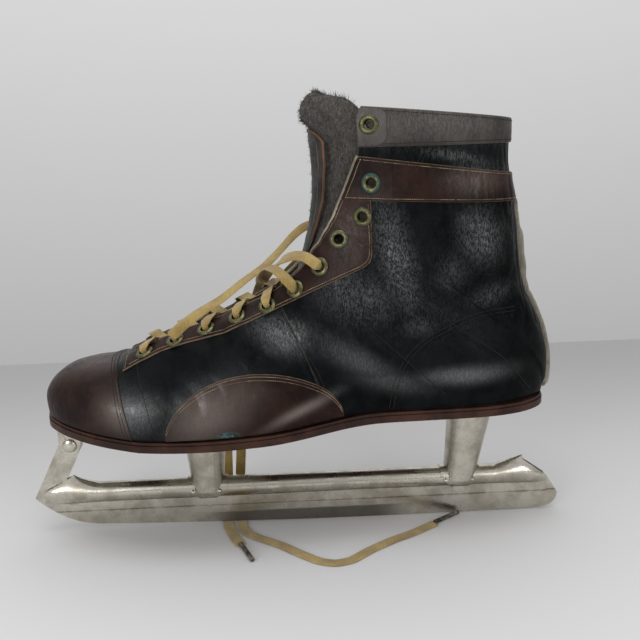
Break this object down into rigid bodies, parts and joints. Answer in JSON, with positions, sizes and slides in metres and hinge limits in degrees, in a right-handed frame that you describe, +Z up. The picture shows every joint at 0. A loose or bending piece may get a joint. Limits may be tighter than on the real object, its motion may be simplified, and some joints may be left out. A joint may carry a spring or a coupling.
{
  "type": "ice skate",
  "caption": "Antique laced leather ice skate: an ankle boot riveted to a brazed steel tube runner with a thin blade, with a tongue that folds forward.",
  "frame": {"origin": "under the middle of the blade and of the boot's width, on the surface the blade stands on", "axes": "+X towards the heel, +Y to the far side of the boot, +Z up; the toe points to -X"},
  "size_m": [0.317, 0.1132, 0.2511],
  "materials": {
    "nickel": "worn nickel plate",
    "sole_leather": "waxed sole edge",
    "canvas": "plain woven lining",
    "oxblood_leather": "semi-gloss, scuffed",
    "black_leather": "semi-gloss, wrinkled",
    "brass": "tarnished",
    "felt": "matted felt",
    "lace_cotton": "ribbed flat cotton"
  },
  "bodies": {
    "skate": {"runner": "nickel", "tube": "nickel", "front_saddle": "nickel", "rear_saddle": "nickel", "front_stanchion": "nickel", "rear_stanchion": "nickel", "front_sole_plate": "nickel", "heel_plate": "nickel", "toe_plate": "nickel", "toe_brace": "nickel", "brace_rivet": "nickel", "front_plate_rivets": "nickel", "heel_plate_rivets": "nickel", "toe_plate_rivets": "nickel", "outsole": "sole_leather", "welt": "sole_leather", "insole": "canvas", "shank": "nickel", "box_toe": "canvas", "heel_counter": "canvas", "toe_cap": "oxblood_leather", "vamp": "black_leather", "vamp_lining": "canvas", "near_quarter": "black_leather", "far_quarter": "black_leather", "near_lining": "canvas", "far_lining": "canvas", "near_facing": "oxblood_leather", "far_facing": "oxblood_leather", "near_side_patch": "oxblood_leather", "far_side_patch": "oxblood_leather", "near_ankle_band": "oxblood_leather", "far_ankle_band": "oxblood_leather", "near_top_band": "oxblood_leather", "far_top_band": "oxblood_leather", "back_stay": "canvas", "near_eyelets": "brass", "far_eyelets": "brass", "tongue_base": "black_leather", "tongue_base_felt": "felt", "lacing": "lace_cotton", "loose_strand": "lace_cotton", "long_lace_end": "lace_cotton", "short_lace_end": "lace_cotton", "long_lace_tip": "nickel", "short_lace_tip": "nickel"},
    "tongue": {"tongue_flap": "black_leather", "tongue_flap_felt": "felt"}
  },
  "joints": [
    {"name": "tongue_fold", "type": "hinge", "parent": "skate", "child": "tongue", "pos_m": [0.00357, 0, 0.15307], "axis": [0, -1, 0], "range_deg": [0, 38]}
  ]
}
